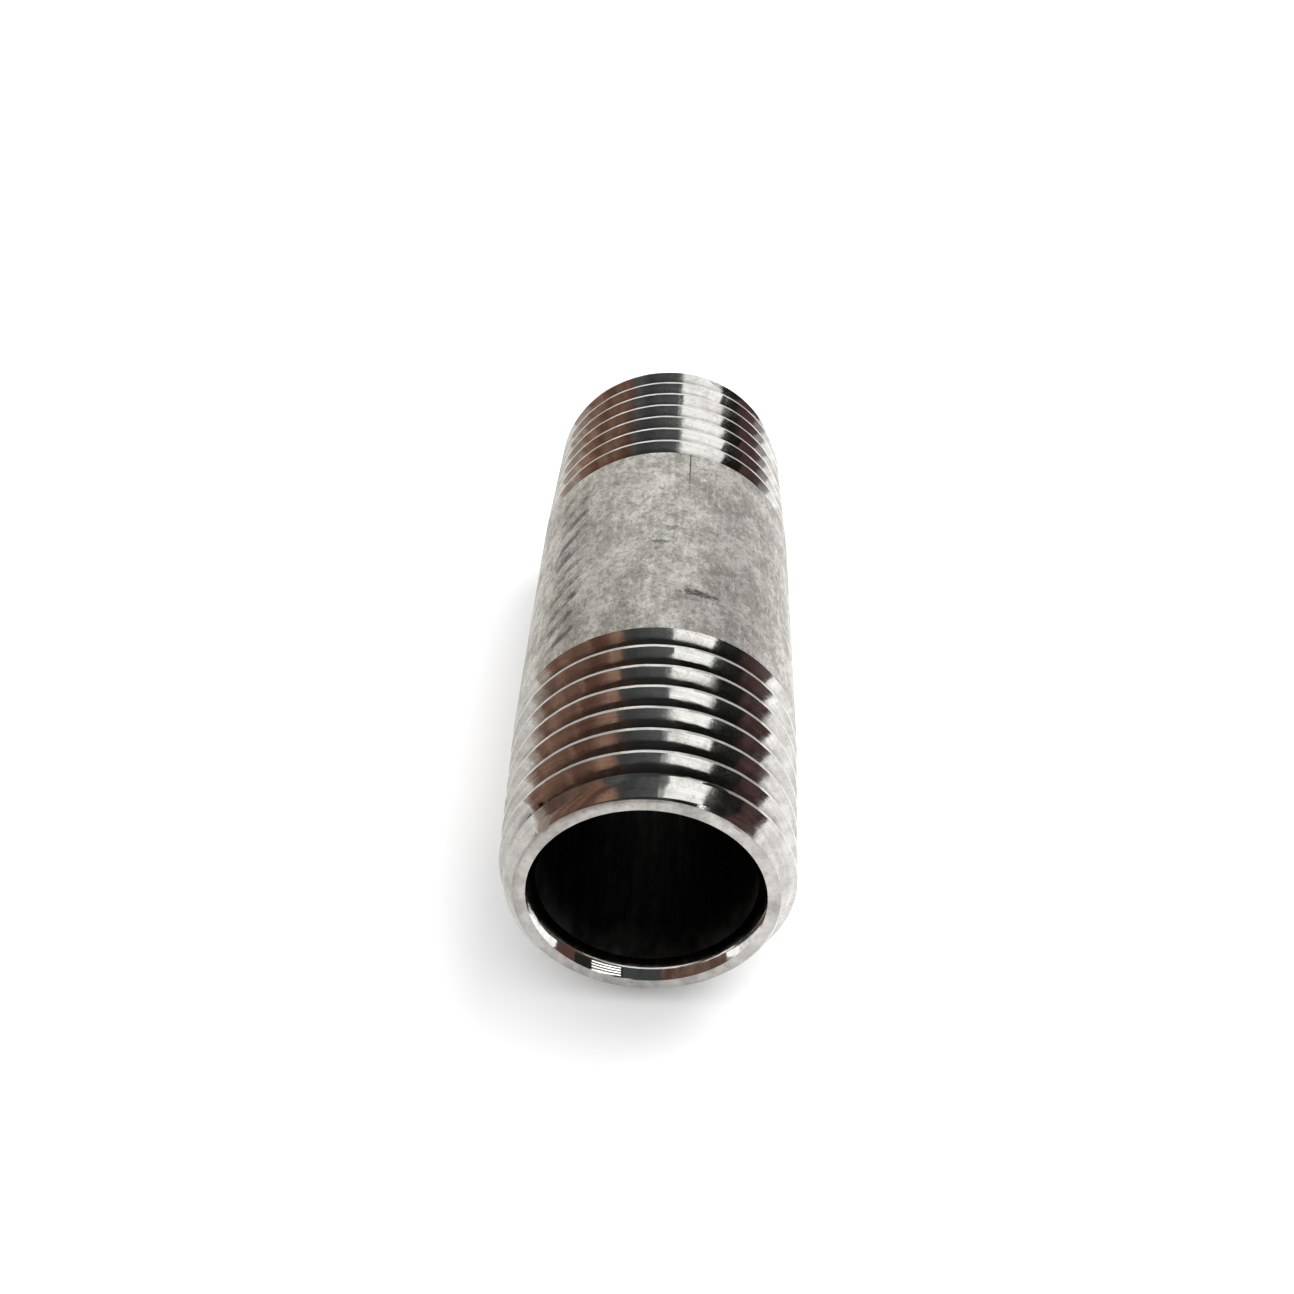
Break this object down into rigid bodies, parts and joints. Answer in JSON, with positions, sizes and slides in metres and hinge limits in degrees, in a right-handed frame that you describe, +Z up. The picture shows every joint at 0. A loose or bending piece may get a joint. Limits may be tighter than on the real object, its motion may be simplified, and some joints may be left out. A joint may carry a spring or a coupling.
{
  "type": "threaded pipe nipple",
  "caption": "Short straight pipe with a tapered external thread at each end, a plain barrel between them and a clear through bore, for joining two pipe fittings.",
  "frame": {"origin": "middle of the pipe, on its axis, halfway between the end faces", "axes": "+Y along the pipe axis towards the far end, +Z up, +X right; lying on its side as shown"},
  "size_m": [0.0138, 0.037, 0.0138],
  "materials": {
    "pipe_wall": "pickled satin barrel, bright turned threads",
    "weld_seam": "satin, flush with the wall"
  },
  "bodies": {
    "root": {"pipe_wall": "pipe_wall", "weld_seam": "weld_seam"}
  },
  "joints": []
}
